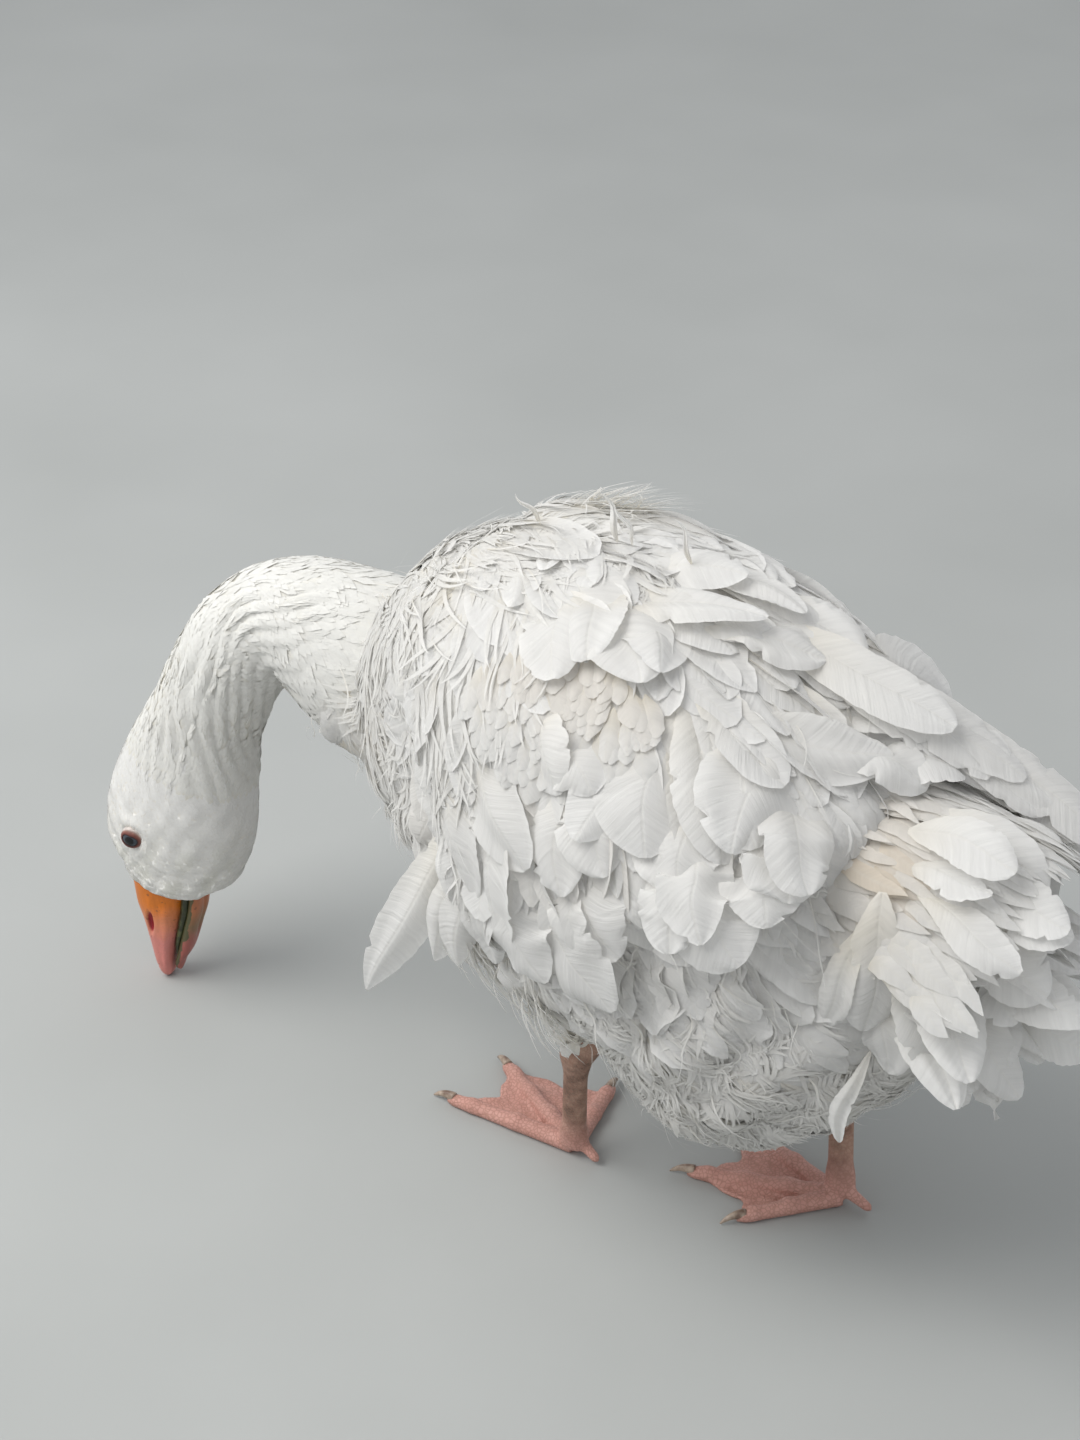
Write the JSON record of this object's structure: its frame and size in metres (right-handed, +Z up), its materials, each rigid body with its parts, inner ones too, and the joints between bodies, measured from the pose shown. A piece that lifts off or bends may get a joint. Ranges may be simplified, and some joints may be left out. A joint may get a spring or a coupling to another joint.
{
  "type": "domestic goose, grazing",
  "caption": "Life-size still model of a white domestic goose with long loose curled feathers, standing with its neck arched down to graze.",
  "frame": {"origin": "centre of the bounding box on the floor that the feet and bill tip rest on", "axes": "-X is where the body faces, -Y its left side and +Z up; the neck turns about 21 degrees to its left"},
  "size_m": [0.6144, 0.2474, 0.3743],
  "materials": {
    "plumage": "matt white feathers with cream shadows, faintly soiled in grey-green and beige",
    "bill": "satin horn, orange at the base and salmon pink at the nail",
    "leg_skin": "satin scaly skin, salmon pink feet and brownish shanks",
    "eye": "wet gloss, grey-blue iris round a black pupil"
  },
  "bodies": {
    "root": {"head": "plumage", "neck_upper": "plumage", "neck_arch": "plumage", "neck_base": "plumage", "bill_upper": "bill", "bill_lower": "bill", "eye_left": "eye", "eye_right": "eye", "wing_left": "plumage", "thigh_left": "plumage", "shank_left": "leg_skin", "foot_left": "leg_skin", "wing_right": "plumage", "thigh_right": "plumage", "shank_right": "leg_skin", "foot_right": "leg_skin", "trunk": "plumage", "tail": "plumage"}
  },
  "joints": []
}
